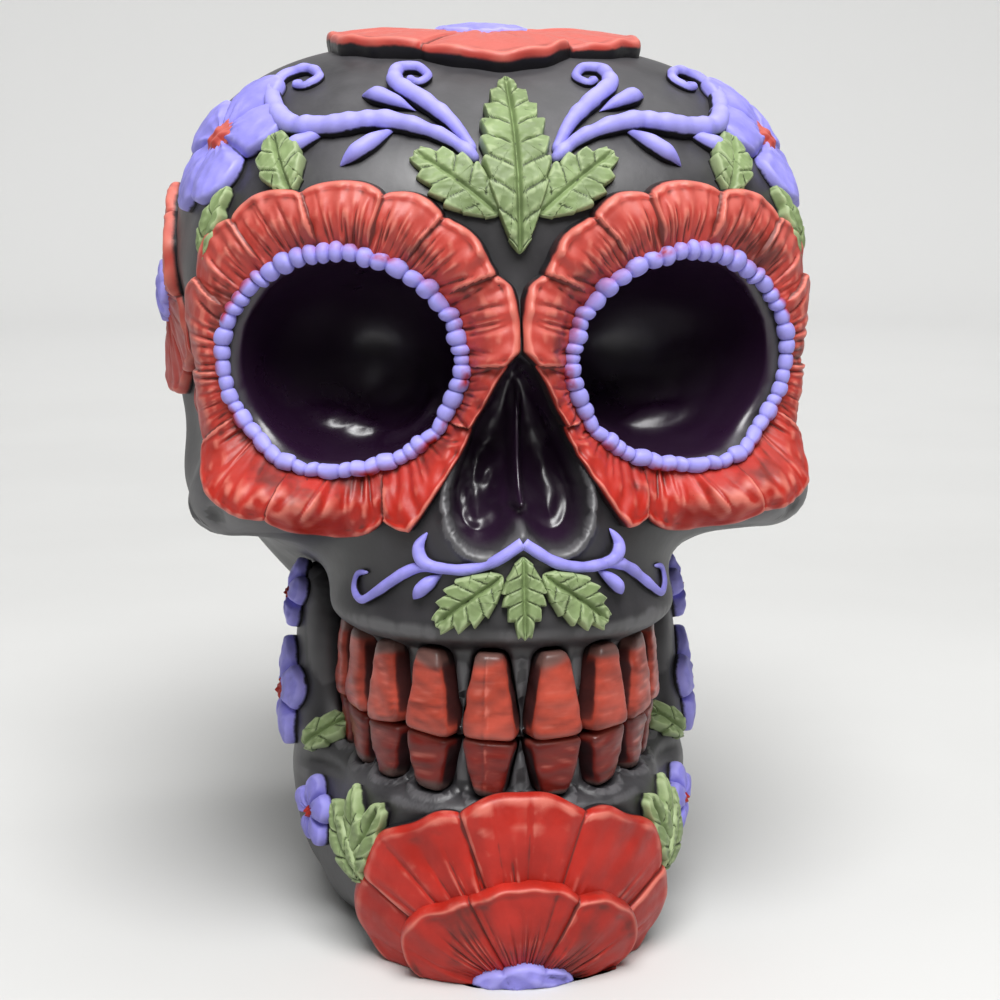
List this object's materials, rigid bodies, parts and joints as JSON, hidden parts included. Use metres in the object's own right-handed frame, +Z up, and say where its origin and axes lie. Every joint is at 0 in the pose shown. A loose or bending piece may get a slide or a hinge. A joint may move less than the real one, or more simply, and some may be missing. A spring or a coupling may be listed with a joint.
{
  "type": "sugar skull ornament",
  "caption": "Cast-resin sugar skull ornament in satin black, with red poppy frills round its eyes, lavender scrolls and beads, green leaves and red teeth",
  "frame": {"origin": "point of the flat underside on the middle plane of the skull, below the front part of the neck block", "axes": "X to the skull's side that is on the right when it faces the viewer, Y from the face to the back of the head, Z up from the underside to the crown"},
  "size_m": [0.1102, 0.1345, 0.1487],
  "materials": {
    "black_resin": "satin black paint on cast resin, wiped and glossier inside the hollows",
    "petal_red": "satin red paint with dark wash in the folds and lighter rubbed edges",
    "tooth_red": "semi-gloss orange-red paint, greyed at the roots",
    "lavender_paint": "lavender paint brushed over black, black left in the grooves",
    "leaf_green": "sage green paint brushed over black, black left in the veins",
    "pale_plug": "unpainted pale plug, slightly chalky"
  },
  "bodies": {
    "root": {"cranium": "black_resin", "lower_jaw": "black_resin", "base_plug": "pale_plug", "upper_tooth_left_1": "tooth_red", "upper_tooth_left_2": "tooth_red", "upper_tooth_left_3": "tooth_red", "upper_tooth_left_4": "tooth_red", "upper_tooth_left_5": "tooth_red", "upper_tooth_right_1": "tooth_red", "upper_tooth_right_2": "tooth_red", "upper_tooth_right_3": "tooth_red", "upper_tooth_right_4": "tooth_red", "upper_tooth_right_5": "tooth_red", "lower_tooth_left_1": "tooth_red", "lower_tooth_left_2": "tooth_red", "lower_tooth_left_3": "tooth_red", "lower_tooth_left_4": "tooth_red", "lower_tooth_left_5": "tooth_red", "lower_tooth_right_1": "tooth_red", "lower_tooth_right_2": "tooth_red", "lower_tooth_right_3": "tooth_red", "lower_tooth_right_4": "tooth_red", "lower_tooth_right_5": "tooth_red", "bead_rim_right": "lavender_paint", "bead_rim_left": "lavender_paint", "brow_scroll_right": "lavender_paint", "brow_scroll_left": "lavender_paint", "temple_flower_right": "lavender_paint", "temple_flower_left": "lavender_paint", "lip_scroll": "lavender_paint", "crown_heart": "lavender_paint", "chin_heart": "lavender_paint", "jaw_flower_right": "lavender_paint", "jaw_flower_left": "lavender_paint", "cheek_flower_right": "lavender_paint", "cheek_flower_left": "lavender_paint", "angle_flower_right": "lavender_paint", "angle_flower_left": "lavender_paint", "eye_frill_right": "petal_red", "eye_frill_left": "petal_red", "side_poppy_right": "petal_red", "side_poppy_left": "petal_red", "crown_poppy": "petal_red", "back_poppy": "petal_red", "chin_poppy_outer": "petal_red", "chin_poppy_inner": "petal_red", "brow_leaf_middle": "leaf_green", "lip_leaf_middle": "leaf_green", "brow_leaf_right": "leaf_green", "brow_leaf_left": "leaf_green", "temple_leaf_right": "leaf_green", "temple_leaf_left": "leaf_green", "ear_leaf_right": "leaf_green", "ear_leaf_left": "leaf_green", "lip_leaf_right": "leaf_green", "lip_leaf_left": "leaf_green", "chin_leaves_right": "leaf_green", "chin_leaves_left": "leaf_green", "jaw_leaf_right": "leaf_green", "jaw_leaf_left": "leaf_green"}
  },
  "joints": []
}
